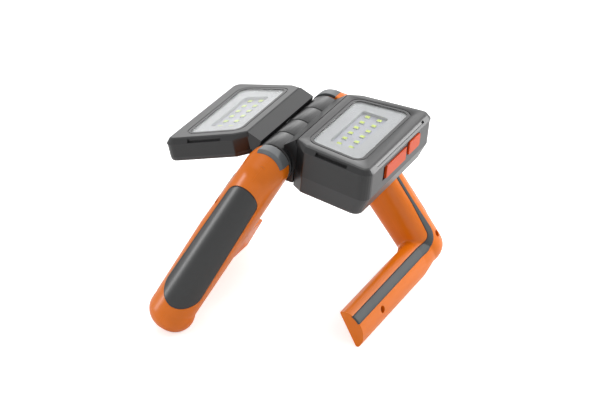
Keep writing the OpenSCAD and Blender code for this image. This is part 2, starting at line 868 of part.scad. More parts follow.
module front_leg_shell() { color("#de732d") front_leg() leg_shell(); }
module front_leg_cover() { color("#de732d") front_leg() leg_cover(); }
module front_hub() { color("#303234") front_leg() leg_hub(); }
module front_grip() { color("#4b4c4d") front_leg() leg_grip(); }
module front_strip() { color("#54595b") front_leg() leg_strip(); }
module front_collar_cap() { color("#6b7274") front_leg() leg_cap(); }
module front_leg_screws() { color("#8c8f92") front_leg() leg_screw_set(); }
module rear_leg_shell() { color("#de732d") rear_leg() leg_shell(); }
module rear_leg_cover() { color("#de732d") rear_leg() leg_cover(); }
module rear_hub() { color("#303234") rear_leg() leg_hub(); }
module rear_grip() { color("#4b4c4d") rear_leg() leg_grip(); }
module rear_strip() { color("#54595b") rear_leg() leg_strip(); }
module rear_collar_cap() { color("#6b7274") rear_leg() leg_cap(); }
module rear_leg_screws() { color("#8c8f92") rear_leg() leg_screw_set(); }

right_housing();
right_bezel();
right_lens();
right_reflector();
right_led_board();
right_leds();
right_back_cover();
right_cover_screws();
battery_cell();
control_board();
charge_socket();
power_switch();
power_button();
charge_flap();
left_housing();
left_bezel();
left_lens();
left_reflector();
left_led_board();
left_leds();
left_back_cover();
left_cover_screws();
hinge_axle();
hinge_nuts();
friction_washers();
front_leg_shell();
front_leg_cover();
front_hub();
front_grip();
front_strip();
front_collar_cap();
front_leg_screws();
rear_leg_shell();
rear_leg_cover();
rear_hub();
rear_grip();
rear_strip();
rear_collar_cap();
rear_leg_screws();
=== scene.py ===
"""Looks of a work light: two lamps on a hinge barrel between two bent legs, in a pale studio."""

import json
import math

import bmesh
import bpy
from mathutils import Matrix, Vector


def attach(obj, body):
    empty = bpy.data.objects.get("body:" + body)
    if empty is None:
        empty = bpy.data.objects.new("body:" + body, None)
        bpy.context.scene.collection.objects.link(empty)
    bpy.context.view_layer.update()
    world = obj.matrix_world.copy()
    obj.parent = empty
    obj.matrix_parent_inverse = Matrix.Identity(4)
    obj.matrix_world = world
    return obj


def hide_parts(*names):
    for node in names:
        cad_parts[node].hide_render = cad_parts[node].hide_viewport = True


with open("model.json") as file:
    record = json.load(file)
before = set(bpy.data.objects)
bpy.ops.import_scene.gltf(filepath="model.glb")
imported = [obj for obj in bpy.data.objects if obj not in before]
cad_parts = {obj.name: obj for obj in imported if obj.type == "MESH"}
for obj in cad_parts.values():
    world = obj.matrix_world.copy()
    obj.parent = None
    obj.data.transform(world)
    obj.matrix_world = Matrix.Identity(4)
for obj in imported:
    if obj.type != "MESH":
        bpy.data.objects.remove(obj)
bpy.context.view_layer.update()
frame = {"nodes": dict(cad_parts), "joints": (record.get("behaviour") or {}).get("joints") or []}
NODES = frame["nodes"]
JOINTS = {joint["name"]: joint for joint in frame["joints"]}
MM = 0.001

# Camera, as fitted to the photograph; lengths in metres
PHOTO_W = 600
FOCAL_PX = 2204
VIEW_AZIMUTH = math.radians(26.9)
VIEW_ELEVATION = math.radians(26.8)
VIEW_ROLL = math.radians(0.2)
VIEW_DISTANCE = 1.703
HINGE_ABOVE_CENTRE_PX = 67.8
CLIP_END = 20

# Hinge axis and stance, from the frame
HINGE = Vector(JOINTS["rear_leg_swing"]["pos_m"])
LEG_OPEN = -math.radians(JOINTS["rear_leg_swing"]["range_deg"][0])

# A leg in millimetres, hanging straight down from the hinge axis with its foot side at +x
HEAD_IN = 49.8
HEAD_L = 9.0
HEAD_R = 16.5
NECK_DROP = 6.0
NECK_R = HEAD_R - 0.8
LEG_DEPTH = 28.0
LEG_Y = HEAD_IN + LEG_DEPTH / 2
SPLAY = math.radians(11)
BEND_DROP = 140.0
BEND_W = 35.6
BEND_DEPTH = LEG_DEPTH + 6
HEEL_SHIFT = -2.0
HEEL_INSET = 0.25
HEEL_REACH = 6.0
BOW_DROP = 62.0
BOW_SHIFT = 1.5
BOW_R = HEAD_R + 0.3
BOW_HALF_H = 10.0
GRIP_DROP = 143.5
GRIP_H = 32.0
GRIP_W = 25.0
GRIP_HALF_L = 50.8
GRIP_GAP = 0.4
BAR_OVERRUN = 6.0
BAR_OVERLAP = 1.0
SPLIT_Y = LEG_Y + BEND_DROP * math.tan(SPLAY) - BEND_DEPTH / 2 - HEEL_REACH
PARTING = 0.03
SEAT_DEPTH = 1.6

# Meshing of the leg: steps round a form, even skins and the rounds that smooth them, and cutting blocks
ROUND_STEPS = 72
ARC_STEPS = 32
CORNER_STEPS = 10
HOLE_STEPS = 40
POCKET_STEPS = 48
BODY_VOXEL = 0.9
BODY_ROUNDS = 4
GRIP_VOXEL = 0.5
GRIP_ROUNDS = 3
TRIM_VOXEL = 0.4
TRIM_ROUNDS = 2
SMOOTHING = 0.5
SLIVER = 0.003
SHARP_ANGLE = math.radians(35)
CUT_SIDE = 60
CUT_LENGTH = 90
CUT_REACH = 200

# Soft grip and rubber strip
GRIP_TOP = 12.0
GRIP_END = BEND_DROP - 9
GRIP_TOP_R = 13.2
GRIP_END_R = 15.5
GRIP_SHIFT = -0.6
GRIP_PROUD = 0.5
STRIP_W = 8.0
STRIP_TOP_W = 3.4
STRIP_SHIFT = -4.0
STRIP_DROP = GRIP_DROP - 6
STRIP_TOP = 16.0
STRIP_END_R = STRIP_TOP_W * 0.4
STRIP_CUT_X = GRIP_W / 4
STRIP_CUT_L = 40
STRIP_OVERRUN = 1.0
STRIP_KNEE = 98.0
STRIP_KNEE_R = 150.0
STRIP_BEND_R = 10.0
STRIP_PROUD = 0.4
TRIM_GAP = 0.25

# Collar cap, hub pocket and screws
CAP_L = 12.0
CAP_T = 2.2
CAP_HALF_ANGLE = math.radians(48)
CAP_PROUD = 0.25
CAP_GAP = 0.1
CAP_SEAT_GAP = 0.05
CAP_CUT = 3.0
CAP_TURN_PER_MM = math.radians(2)
HUB_R = 9.1
HUB_POCKET_L = 20.1
HUB_POCKET_MOUTH = 1.0
SCREW_HOLE_R = 3.0
SCREW_SINK = 1.8
UPPER_SCREW_DROP = 38.0
LOWER_SCREW_DROP = 134.0

# Leg screws as y, drop and seat height above the parting
LEG_SCREWS = [
    (LEG_Y + UPPER_SCREW_DROP * math.tan(SPLAY) + 4.2, UPPER_SCREW_DROP, 9.0),
    (LEG_Y + LOWER_SCREW_DROP * math.tan(SPLAY) + 3.0, LOWER_SCREW_DROP, 9.0),
    (-14.0, GRIP_DROP + 4, 7.0),
]

# Studio in metres: world level, floor, and soft panels as name, place, width, height and watts
WORLD_LEVEL = 0.62
FLOOR_LIFT = 0.6
FLOOR_HALF = 4
FLOOR_T = 0.002
FLOOR_GAP = 0.0001
FLOOR_SCALE = 3
FLOOR_DARK = (0.87, 0.87, 0.87)
FLOOR_PALE = (0.89, 0.89, 0.89)
SOFT_LIGHTS = [
    ("top", (-0.2, 0.3, 1.9), 1.6, 1.6, 8),
    ("back", (0.2, 2.1, 1.3), 3.0, 1.5, 14),
    ("back_left", (-1.06, 1.6, 0.8), 0.95, 0.9, 3.4),
    ("rim", (0.6, 0.62, 0.5), 0.5, 0.5, 5),
    ("strip", (-0.9, -0.6, 0.2), 0.2, 0.4, 2.6),
]

# Finishes: scales are features per metre, lengths are millimetres
FINE_DETAIL = 2.0
PATCH_SCALE = 45
GLOSS_SCALE = 160
GLOSS_SPREAD = 0.008
GRAIN_STRENGTH = 0.3
# Mask of the edges and creases that are painted paler, partly wear and partly painted highlight
EDGE_R = 0.6
EDGE_SAMPLES = 8
EDGE_FULL = 0.6
EDGE_NONE = 0.93
POLISH_SCALE = 300
POLISH_DARK = 0.9
BRUSH_SCALE = 900
BRUSH_SPREAD = 0.08
PANE_HAZE_SCALE = 120
PANE_HAZE = (0.03, 0.09)

# Colour sockets of a Mix node, whose names are shared by its sockets of other kinds
MIX_A = 6
MIX_B = 7
MIX_RESULT = 2


# Materials

def new_material(name):
    """An empty node material with a Principled shader; returns the material, its nodes, links and shader."""
    material = bpy.data.materials.new(name)
    material.use_nodes = True
    nodes = material.node_tree.nodes
    return material, nodes, material.node_tree.links, nodes["Principled BSDF"]


def noise(nodes, links, scale, detail=4.0):
    """Noise in the piece's own space, with a scale in features per metre."""
    place = nodes.new("ShaderNodeTexCoord")
    texture = nodes.new("ShaderNodeTexNoise")
    texture.inputs["Scale"].default_value = scale
    texture.inputs["Detail"].default_value = detail
    links.new(place.outputs["Object"], texture.inputs["Vector"])
    return texture.outputs["Fac"]


def ramp(nodes, links, source, low, high, start=0.3, end=0.7):
    """Colour ramp from low to high over a stretch of the source."""
    node = nodes.new("ShaderNodeValToRGB")
    node.color_ramp.elements[0].position = start
    node.color_ramp.elements[1].position = end
    node.color_ramp.elements[0].color = (*low, 1)
    node.color_ramp.elements[1].color = (*high, 1)
    links.new(source, node.inputs["Fac"])
    return node.outputs["Color"]


def spread(nodes, links, source, low, high):
    """Maps a 0 to 1 source onto low to high."""
    node = nodes.new("ShaderNodeMapRange")
    node.inputs["To Min"].default_value = low
    node.inputs["To Max"].default_value = high
    links.new(source, node.inputs["Value"])
    return node.outputs["Result"]


def linear(red, green, blue):
    """Colour written in 8-bit sRGB, as linear light."""
    def channel(value):
        value /= 255
        return value / 12.92 if value <= 0.04045 else ((value + 0.055) / 1.055) ** 2.4
    return channel(red), channel(green), channel(blue)


def shade(colour, factor):
    """Colour made brighter or darker by a factor."""
    return tuple(min(channel * factor, 1) for channel in colour)


def edge_mask(nodes, links, radius):
    """1 on edges and in creases, 0 on open faces, from normals averaged over a radius."""
    soft = nodes.new("ShaderNodeBevel")
    soft.samples = EDGE_SAMPLES
    soft.inputs["Radius"].default_value = radius * MM
    geometry = nodes.new("ShaderNodeNewGeometry")
    match = nodes.new("ShaderNodeVectorMath")
    match.operation = "DOT_PRODUCT"
    links.new(soft.outputs["Normal"], match.inputs[0])
    links.new(geometry.outputs["Normal"], match.inputs[1])
    return ramp(nodes, links, match.outputs["Value"], (1, 1, 1), (0, 0, 0), EDGE_FULL, EDGE_NONE)


def plastic(name, colour, rough, gloss=0.5, grain=1800, grain_height=0.03, wear_and_highlight=1.2, mottle=0.05):
    """Moulded plastic or rubber: mottled colour, fine grain, uneven gloss, and edges and creases painted
    paler by a factor, partly rubbed wear and partly a painted highlight.
    """
    material, nodes, links, shader = new_material(name)
    patches = noise(nodes, links, PATCH_SCALE)
    base = ramp(nodes, links, patches, shade(colour, 1 - mottle), shade(colour, 1 + mottle))
    # Edges and creases are painted paler: partly rubbed wear, partly a painted highlight where the edges
    # catch the light
    mix = nodes.new("ShaderNodeMix")
    mix.data_type = "RGBA"
    links.new(edge_mask(nodes, links, EDGE_R), mix.inputs["Factor"])
    links.new(base, mix.inputs[MIX_A])
    mix.inputs[MIX_B].default_value = (*shade(colour, wear_and_highlight), 1)
    links.new(mix.outputs[MIX_RESULT], shader.inputs["Base Color"])
    uneven = noise(nodes, links, GLOSS_SCALE, FINE_DETAIL)
    gloss_map = spread(nodes, links, uneven, rough - GLOSS_SPREAD, rough + GLOSS_SPREAD)
    links.new(gloss_map, shader.inputs["Roughness"])
    shader.inputs["Specular IOR Level"].default_value = gloss
    bump = nodes.new("ShaderNodeBump")
    bump.inputs["Strength"].default_value = GRAIN_STRENGTH
    bump.inputs["Distance"].default_value = grain_height * MM
    links.new(noise(nodes, links, grain, FINE_DETAIL), bump.inputs["Height"])
    links.new(bump.outputs["Normal"], shader.inputs["Normal"])
    return material


def metal(name, colour, rough):
    """Turned or plated metal with fine uneven polish."""
    material, nodes, links, shader = new_material(name)
    shader.inputs["Metallic"].default_value = 1
    polish = ramp(nodes, links, noise(nodes, links, POLISH_SCALE), shade(colour, POLISH_DARK), colour)
    links.new(polish, shader.inputs["Base Color"])
    brushing = noise(nodes, links, BRUSH_SCALE)
    gloss_map = spread(nodes, links, brushing, rough - BRUSH_SPREAD, rough + BRUSH_SPREAD)
    links.new(gloss_map, shader.inputs["Roughness"])
    return material


def clear_plastic(name):
    """Thin clear pane: light passes almost straight, and a glossy coat carries the reflections."""
    material, nodes, links, shader = new_material(name)
    shader.inputs["Base Color"].default_value = (0.97, 0.98, 0.98, 1)
    shader.inputs["Transmission Weight"].default_value = 1
    shader.inputs["IOR"].default_value = 1.02
    shader.inputs["Roughness"].default_value = 0.02
    shader.inputs["Coat Weight"].default_value = 0.6
    haze = spread(nodes, links, noise(nodes, links, PANE_HAZE_SCALE), *PANE_HAZE)
    links.new(haze, shader.inputs["Coat Roughness"])
    return material


HOUSING = plastic("housing_plastic", linear(30, 30, 31), 0.3, gloss=0.7)
BEZEL = plastic("bezel_plastic", linear(38, 38, 39), 0.3, gloss=0.7)
COVER = plastic("cover_plastic", linear(48, 48, 49), 0.32, gloss=0.7)
ORANGE = plastic(
    "orange_plastic", linear(226, 114, 3), 0.3,
    gloss=0.45, grain=1500, grain_height=0.015, wear_and_highlight=1.15, mottle=0.02,
)
GRIP = plastic("grip_rubber", linear(36, 37, 38), 0.34, gloss=0.7, grain=1100, grain_height=0.02)
STRIP = plastic("strip_rubber", linear(70, 75, 77), 0.5, gloss=0.3, grain=1100, grain_height=0.04)
CAP = plastic("cap_plastic", linear(100, 103, 105), 0.32)
SIGNAL = plastic("signal_rubber", linear(212, 74, 14), 0.36, gloss=0.25, wear_and_highlight=1.08, mottle=0.02)
WASHER = plastic("washer_rubber", linear(30, 31, 32), 0.5)
REFLECTOR = plastic("reflector_plastic", linear(182, 183, 185), 0.45, grain=700, wear_and_highlight=1.05, mottle=0.015)
BOARD = plastic("led_board", linear(182, 183, 193), 0.4, wear_and_highlight=1.03, mottle=0.02)
PACKAGE = plastic("led_package", linear(206, 208, 206), 0.35, wear_and_highlight=1.02, mottle=0.02)
PHOSPHOR = plastic("led_phosphor", linear(214, 232, 70), 0.3, wear_and_highlight=1.03, mottle=0.04)
HUB = plastic("hub_plastic", linear(50, 50, 51), 0.45)
SWITCH = plastic("switch_plastic", linear(38, 40, 42), 0.5)
CIRCUIT = plastic("circuit_board", linear(47, 107, 69), 0.4)
CELL = plastic("cell_wrap", linear(61, 111, 168), 0.35)
SCREW = metal("screw_steel", linear(140, 143, 146), 0.35)
STEEL = metal("axle_steel", linear(180, 183, 186), 0.3)
LENS = clear_plastic("clear_lens")

FINISHES = {
    HOUSING: ["right_housing", "left_housing"],
    BEZEL: ["right_bezel", "left_bezel"],
    COVER: ["right_back_cover", "left_back_cover"],
    LENS: ["right_lens", "left_lens"],
    REFLECTOR: ["right_reflector", "left_reflector"],
    BOARD: ["right_led_board", "left_led_board"],
    SIGNAL: ["power_button", "charge_flap"],
    WASHER: ["friction_washers"],
    HUB: ["front_hub", "rear_hub"],
    SWITCH: ["power_switch"],
    CIRCUIT: ["control_board"],
    CELL: ["battery_cell"],
    SCREW: ["right_cover_screws", "left_cover_screws", "front_leg_screws", "rear_leg_screws"],
    STEEL: ["hinge_axle", "hinge_nuts", "charge_socket"],
}
SOFT_EDGES = {
    "right_housing": 0.5, "left_housing": 0.5, "right_bezel": 0.5, "left_bezel": 0.5,
    "right_back_cover": 0.5, "left_back_cover": 0.5, "power_button": 0.6, "charge_flap": 0.5,
    "right_lens": 0.2, "left_lens": 0.2, "right_reflector": 0.3, "left_reflector": 0.3,
}
LENS_SHRINK = 0.06
WELD = 0.005
FLAT_ANGLE = math.radians(0.5)
BEVEL_SEGMENTS = 2


def dress_nodes():
    """Gives the CAD nodes their finish, the moulded ones a small edge radius and the panes some room."""
    for material, names in FINISHES.items():
        for name in names:
            mesh = NODES[name].data
            mesh.materials.clear()
            mesh.materials.append(material)
    for name, radius in SOFT_EDGES.items():
        piece = NODES[name]
        weld = piece.modifiers.new("weld", "WELD")
        weld.merge_threshold = WELD * MM
        merge = piece.modifiers.new("merge", "DECIMATE")
        merge.decimate_type = "DISSOLVE"
        merge.angle_limit = FLAT_ANGLE
        bevel = piece.modifiers.new("bevel", "BEVEL")
        bevel.width = radius * MM
        bevel.segments = BEVEL_SEGMENTS
        bevel.limit_method = "ANGLE"
        bevel.angle_limit = SHARP_ANGLE
        bevel.harden_normals = True
    for name in ("right_lens", "left_lens"):
        shrink = NODES[name].modifiers.new("shrink", "DISPLACE")
        shrink.strength = -LENS_SHRINK * MM
        shrink.mid_level = 0


# LEDs: a block's shortest edges are its uprights, and its sides come next
LED_WELD = 0.01
LED_UPRIGHTS = 4
LED_CORNER_STEPS = 3


def joined_groups(form):
    """Groups of joined vertices, in the mesh's own order."""
    seen = set()
    groups = []
    for first in form.verts:
        if first in seen:
            continue
        seen.add(first)
        group = [first]
        for vert in group:
            near = [edge.other_vert(vert) for edge in vert.link_edges]
            fresh = [other for other in near if other not in seen]
            seen.update(fresh)
            group += fresh
        groups.append(group)
    return groups


def led_places(node):
    """Frame of each LED on its board, in metres: origin at the foot's middle, z away from the board."""
    form = bmesh.new()
    form.from_mesh(node.data)
    bmesh.ops.remove_doubles(form, verts=form.verts, dist=LED_WELD * MM)
    places = []
    for group in joined_groups(form):
        middle = sum((vert.co for vert in group), Vector()) / len(group)
        edges = dict.fromkeys(edge for vert in group for edge in vert.link_edges)
        edges = sorted(edges, key=lambda edge: edge.calc_length())
        up = edges[0].verts[0].co - edges[0].verts[1].co
        up = up if up.z > 0 else -up
        side = edges[LED_UPRIGHTS]
        across = (side.verts[0].co - side.verts[1].co).normalized()
        axes = Matrix((across, up.normalized().cross(across), up.normalized())).transposed().to_4x4()
        places.append(node.matrix_world @ Matrix.Translation(middle - up / 2) @ axes)
    form.free()
    return places


def square_ring(half, height, corner):
    """Square outline with rounded corners at a height."""
    inner = half - corner
    ring = []
    for quarter in range(4):
        diagonal = math.pi / 4 + math.pi / 2 * quarter
        for step in range(LED_CORNER_STEPS + 1):
            turn = math.pi / 2 * (quarter + step / LED_CORNER_STEPS)
            x = math.copysign(inner, math.cos(diagonal)) + corner * math.cos(turn)
            y = math.copysign(inner, math.sin(diagonal)) + corner * math.sin(turn)
            ring.append(Vector((x, y, height)))
    return ring


def add_loft(form, rings, place):
    """Closed skin through square rings, set at a place."""
    loops = [[form.verts.new(place @ (point * MM)) for point in ring] for ring in rings]
    form.faces.new(reversed(loops[0]))
    form.faces.new(loops[-1])
    for low, high in zip(loops, loops[1:]):
        for i in range(len(low)):
            j = (i + 1) % len(low)
            form.faces.new((low[i], low[j], high[j], high[i]))


# Rings from the foot up, as half width, height and corner radius
PACKAGE_RINGS = [
    square_ring(2.0, 0, 0.2), square_ring(2.0, 0.75, 0.2), square_ring(1.95, 0.85, 0.2),
    square_ring(1.85, 0.85, 0.4), square_ring(1.78, 0.7, 0.4),
]
PHOSPHOR_RINGS = [
    square_ring(1.74, 0.72, 0.4), square_ring(1.74, 0.86, 0.4), square_ring(1.45, 1.0, 0.4),
    square_ring(0.8, 1.07, 0.3),
]
LED_LOOKS = {
    "package": (PACKAGE, "led_board", PACKAGE_RINGS),
    "phosphor": (PHOSPHOR, "led", PHOSPHOR_RINGS),
}


def place_leds():
    """White packages and yellow-green phosphor pads in place of the plain LED blocks."""
    for side in ("right", "left"):
        node = NODES[side + "_leds"]
        for key, (material, slot, rings) in LED_LOOKS.items():
            form = bmesh.new()
            for place in led_places(node):
                add_loft(form, rings, place)
            mesh = bpy.data.meshes.new(f"{side}_led_{key}")
            form.to_mesh(mesh)
            form.free()
            mesh.materials.append(material)
            piece = mesh_piece(f"{side}_led_{key}_look", mesh)
            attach(piece, side + "_lamp")
            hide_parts(side + "_leds")


# Leg forms

def ellipsoid_points(centre, radii):
    """Points over an ellipsoid."""
    points = []
    for i in range(ROUND_STEPS // 2 + 1):
        polar = math.pi * i / (ROUND_STEPS // 2)
        for j in range(ROUND_STEPS):
            turn = math.tau * j / ROUND_STEPS
            unit = (math.sin(polar) * math.cos(turn), math.sin(polar) * math.sin(turn), math.cos(polar))
            points.append(centre + Vector(radius * part for radius, part in zip(radii, unit)))
    return points


def ring_points(y, drop, width, height):
    """Oval ring across the y axis."""
    turns = [math.tau * j / ROUND_STEPS for j in range(ROUND_STEPS)]
    return [Vector((width * math.cos(t), y, height * math.sin(t) - drop)) for t in turns]


def stem_middle(drop, shift=0.0):
    """Middle of the splayed stem at a drop below the hinge axis."""
    return Vector((shift, LEG_Y + drop * math.tan(SPLAY), -drop))


def bend_points(grow, shift=0.0):
    """Points over the rounded bend at the stem's foot."""
    radii = (BEND_W / 2 + grow, BEND_DEPTH / 2 + grow, GRIP_H / 2 + grow)
    return ellipsoid_points(stem_middle(BEND_DROP, shift), radii)


def mesh_piece(name, mesh):
    """Object in the scene from a mesh."""
    piece = bpy.data.objects.new(name, mesh)
    bpy.context.scene.collection.objects.link(piece)
    return piece


def hull(name, points):
    """Closed skin round a set of points."""
    form = bmesh.new()
    for point in points:
        form.verts.new(point)
    bmesh.ops.convex_hull(form, input=form.verts)
    loose = [v for v in form.verts if not v.link_faces]
    bmesh.ops.delete(form, geom=loose, context="VERTS")
    bmesh.ops.recalc_face_normals(form, faces=form.faces)
    mesh = bpy.data.meshes.new(name)
    form.to_mesh(mesh)
    form.free()
    return mesh_piece(name, mesh)


def prism(name, outline, start, end):
    """Straight prism from an outline of points, moved from start to end."""
    form = bmesh.new()
    bottom = [form.verts.new(p + start) for p in outline]
    top = [form.verts.new(p + end) for p in outline]
    form.faces.new(bottom)
    form.faces.new(reversed(top))
    for i in range(len(outline)):
        j = (i + 1) % len(outline)
        form.faces.new((bottom[i], top[i], top[j], bottom[j]))
    bmesh.ops.recalc_face_normals(form, faces=form.faces)
    mesh = bpy.data.meshes.new(name)
    form.to_mesh(mesh)
    form.free()
    return mesh_piece(name, mesh)


def block(name, low, high):
    """Box from its low corner to its high one."""
    low, high = Vector(low), Vector(high)
    base = [(low.x, low.y), (high.x, low.y), (high.x, high.y), (low.x, high.y)]
    outline = [Vector((x, y, low.z)) for x, y in base]
    return prism(name, outline, Vector(), Vector((0, 0, high.z - low.z)))


def apply_modifiers(piece):
    """Keeps the result of the modifiers as the piece's own mesh."""
    graph = bpy.context.evaluated_depsgraph_get()
    mesh = bpy.data.meshes.new_from_object(piece.evaluated_get(graph))
    piece.modifiers.clear()
    piece.data = mesh


def combine(piece, other, operation, keep_other=False):
    """Boolean of two closed pieces."""
    step = piece.modifiers.new("step", "BOOLEAN")
    step.operation = operation
    step.solver = "MANIFOLD"
    step.object = other
    apply_modifiers(piece)
    if not keep_other:
        bpy.data.objects.remove(other)


def remesh(piece, voxel, rounds):
    """Fuses overlapping skins into one even skin and smooths it."""
    fuse = piece.modifiers.new("fuse", "REMESH")
    fuse.mode = "VOXEL"
    fuse.voxel_size = voxel
    smooth = piece.modifiers.new("smooth", "SMOOTH")
    smooth.factor = SMOOTHING
    smooth.iterations = rounds
    apply_modifiers(piece)


def leg_form(name, grow):
    """Stem, heel and half-round bar of a leg in one skin, grown or drawn in."""
    half_depth = LEG_DEPTH / 2 + grow
    stem = []
    for y in (HEAD_IN, HEAD_IN + HEAD_L):
        stem += ring_points(y, 0, HEAD_R + grow, HEAD_R + grow)
    stem += ellipsoid_points(stem_middle(NECK_DROP), (NECK_R + grow, half_depth, NECK_R + grow))
    stem += ellipsoid_points(stem_middle(BOW_DROP, BOW_SHIFT), (BOW_R + grow, half_depth, BOW_HALF_H))
    stem += bend_points(grow)
    heel = bend_points(grow - HEEL_INSET, HEEL_SHIFT)
    heel += ring_points(SPLIT_Y, GRIP_DROP, GRIP_W / 2 + grow, GRIP_H / 2 + grow)
    bar = []
    for y in (-GRIP_HALF_L - BAR_OVERRUN, SPLIT_Y + BAR_OVERLAP):
        bar += ring_points(y, GRIP_DROP, GRIP_W / 2 + grow, GRIP_H / 2 + grow)
    flat_x = GRIP_GAP / 2 - min(grow, 0)
    far_half = block(
        name + "_flat", (-CUT_SIDE, -CUT_LENGTH, -CUT_REACH), (flat_x, CUT_LENGTH, -CUT_SIDE)
    )
    leg = hull(name, stem)
    combine(leg, hull(name + "_heel", heel), "UNION")
    half_bar = hull(name + "_bar", bar)
    combine(half_bar, far_half, "DIFFERENCE")
    combine(leg, half_bar, "UNION")
    return leg


def rounded(points, radii, steps=CORNER_STEPS):
    """Outline with each corner rounded to its own radius; points are (y, z) pairs as 2D vectors."""
    outline = []
    for i, point in enumerate(points):
        radius = radii[i]
        if not radius:
            outline.append(point)
            continue
        back = (points[i - 1] - point).normalized()
        on = (points[(i + 1) % len(points)] - point).normalized()
        half = back.angle(on) / 2
        middle = point + (back + on).normalized() * radius / math.sin(half)
        start = point + back * radius / math.tan(half) - middle
        end = point + on * radius / math.tan(half) - middle
        turn = start.angle_signed(end)
        for step in range(steps + 1):
            angle = -turn * step / steps
            outline.append(middle + Matrix.Rotation(angle, 2) @ start)
    return outline


def grip_prism(name, grow):
    """Long oval through the stem's outer end face."""
    top_z = -GRIP_TOP - GRIP_TOP_R
    end_z = -GRIP_END + GRIP_END_R
    outline = []
    for step in range(ARC_STEPS + 1):
        turn = math.pi * step / ARC_STEPS
        radius = GRIP_TOP_R + grow
        outline.append(Vector((radius * math.cos(turn), 0, top_z + radius * math.sin(turn))))
    for step in range(ARC_STEPS + 1):
        turn = math.pi + math.pi * step / ARC_STEPS
        radius = GRIP_END_R + grow
        outline.append(Vector((radius * math.cos(turn), 0, end_z + radius * math.sin(turn))))
    form = prism(name, outline, Vector(), Vector((0, CUT_SIDE, 0)))
    form.data.transform(Matrix.Translation((GRIP_SHIFT, LEG_Y, 0)) @ Matrix.Rotation(SPLAY, 4, "X"))
    return form


def strip_edge(top_offset, offset):
    """One long edge of the strip as (y, z) points: upper end, knee, bend and tip."""
    y = LEG_Y + STRIP_SHIFT
    low = STRIP_DROP + offset
    lean = math.tan(SPLAY)
    return [
        Vector((y + top_offset / math.cos(SPLAY) + STRIP_TOP * lean, -STRIP_TOP)),
        Vector((y + top_offset / math.cos(SPLAY) + STRIP_KNEE * lean, -STRIP_KNEE)),
        Vector((y + offset / math.cos(SPLAY) + low * lean, -low)),
        Vector((-GRIP_HALF_L - STRIP_OVERRUN, -low)),
    ]


def strip_prism(name, grow):
    """Bent band down the stem's foot side, round the bend and along the bar to its tip."""
    top_half = STRIP_TOP_W / 2 + grow
    half = STRIP_W / 2 + grow
    outer, inner = strip_edge(top_half, half), strip_edge(-top_half, -half)
    outer_radii = [STRIP_END_R, STRIP_KNEE_R, STRIP_BEND_R + half, 0]
    inner_radii = [STRIP_END_R, STRIP_KNEE_R, STRIP_BEND_R - half, 0]
    flat = rounded(outer + inner[::-1], outer_radii + inner_radii[::-1])
    outline = [Vector((0, p.x, p.y)) for p in flat]
    return prism(name, outline, Vector((STRIP_CUT_X, 0, 0)), Vector((STRIP_CUT_X + STRIP_CUT_L, 0, 0)))


def cap_sector(name, grow):
    """Ring sector on the head, on the side away from the leg."""
    half = CAP_HALF_ANGLE + CAP_TURN_PER_MM * grow
    turns = [math.pi / 2 - half + 2 * half * i / ARC_STEPS for i in range(ARC_STEPS + 1)]
    inner_r, outer_r = HEAD_R - CAP_T - grow, HEAD_R + CAP_CUT
    arc = [Vector((outer_r * math.cos(t), 0, outer_r * math.sin(t))) for t in turns]
    arc += [Vector((inner_r * math.cos(t), 0, inner_r * math.sin(t))) for t in reversed(turns)]
    start = HEAD_IN - grow
    return prism(name, arc, Vector((0, start, 0)), Vector((0, start + CAP_L + 2 * grow, 0)))


def post(name, y, drop, radius, start, end):
    """Round post along x."""
    turns = [math.tau * i / HOLE_STEPS for i in range(HOLE_STEPS)]
    ring = [Vector((0, y + radius * math.cos(t), radius * math.sin(t) - drop)) for t in turns]
    return prism(name, ring, Vector((start, 0, 0)), Vector((end, 0, 0)))


def floor_block(name):
    """Everything under the floor, seen from the leg's own frame."""
    under = block(name, (-CUT_REACH, -CUT_REACH, -CUT_REACH), (CUT_REACH, CUT_REACH, 0))
    under.data.transform(Matrix.Rotation(LEG_OPEN, 4, "Y") @ Matrix.Translation((0, 0, -HINGE.z / MM)))
    return under


def hub_pocket(name):
    """Round pocket for the hub, open at the head's inner face."""
    turns = [math.tau * i / POCKET_STEPS for i in range(POCKET_STEPS)]
    ring = [Vector((HUB_R * math.cos(t), 0, HUB_R * math.sin(t))) for t in turns]
    mouth = Vector((0, HEAD_IN - HUB_POCKET_MOUTH, 0))
    return prism(name, ring, mouth, Vector((0, HEAD_IN + HUB_POCKET_L, 0)))


